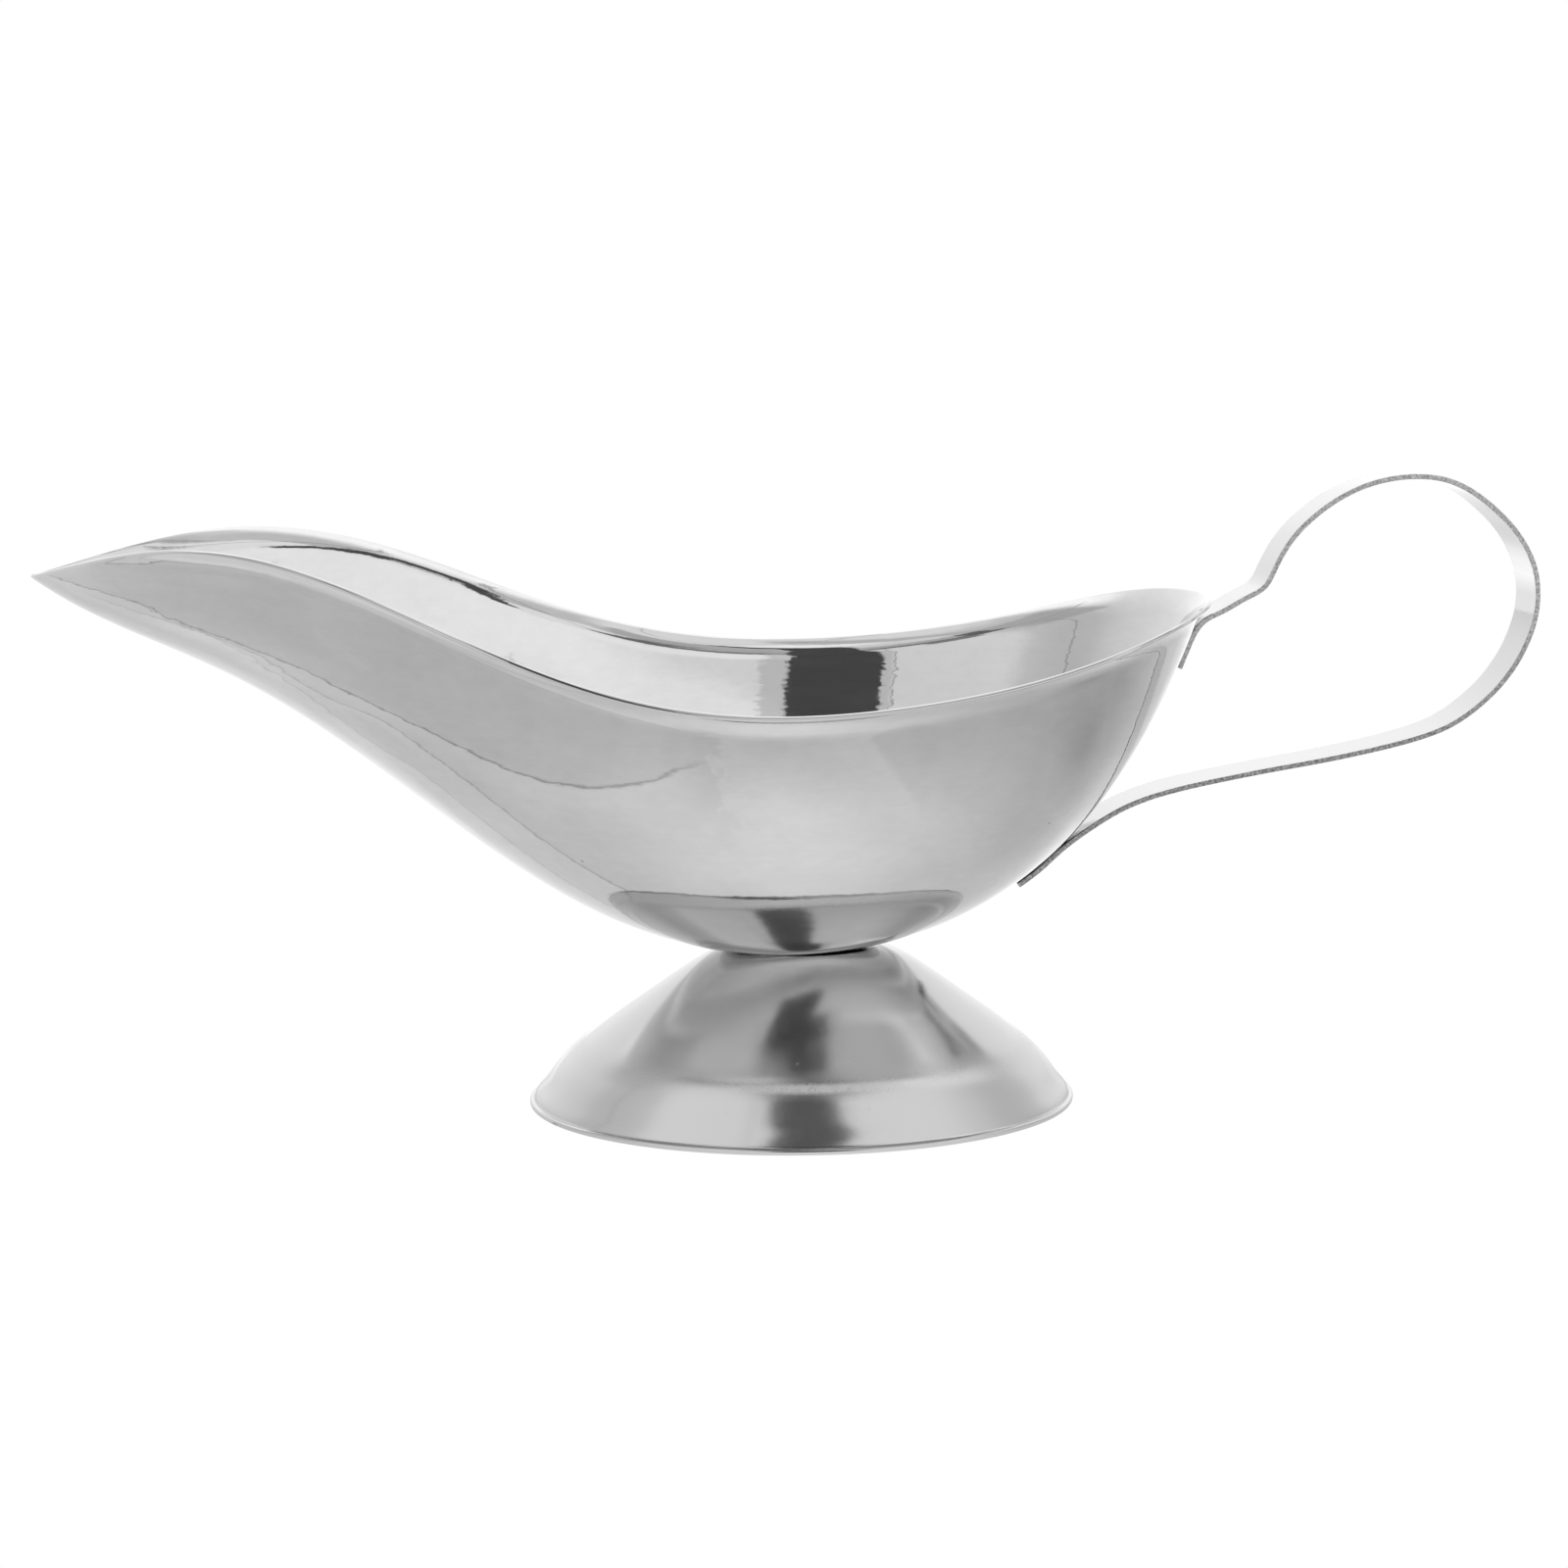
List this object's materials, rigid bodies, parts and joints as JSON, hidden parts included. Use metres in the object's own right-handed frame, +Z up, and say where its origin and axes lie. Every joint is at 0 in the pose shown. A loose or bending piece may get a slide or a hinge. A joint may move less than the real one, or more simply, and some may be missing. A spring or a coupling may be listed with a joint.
{
  "type": "sauce boat",
  "caption": "Footed sauce boat in polished sheet steel: a swept bowl with a long pouring lip, an oval pedestal foot and a looped strap handle.",
  "frame": {"origin": "centre of the foot's resting plane", "axes": "+X towards the handle, so the pouring lip points along -X; +Z up; Y=0 is the plane of symmetry"},
  "size_m": [0.2033, 0.0774, 0.0877],
  "materials": {
    "bowl_polished": "mirror-polished stainless steel with faint buffing lines",
    "foot_satin": "satin stainless steel with fine pitting",
    "strap_polished": "polished stainless steel faces with rough sheared edges",
    "weld_metal": "dull weld nugget"
  },
  "bodies": {
    "root": {"sauce_bowl": "bowl_polished", "pedestal_foot": "foot_satin", "strap_handle": "strap_polished", "foot_spot_welds": "weld_metal", "upper_handle_spot_welds": "weld_metal", "lower_handle_spot_welds": "weld_metal"}
  },
  "joints": []
}
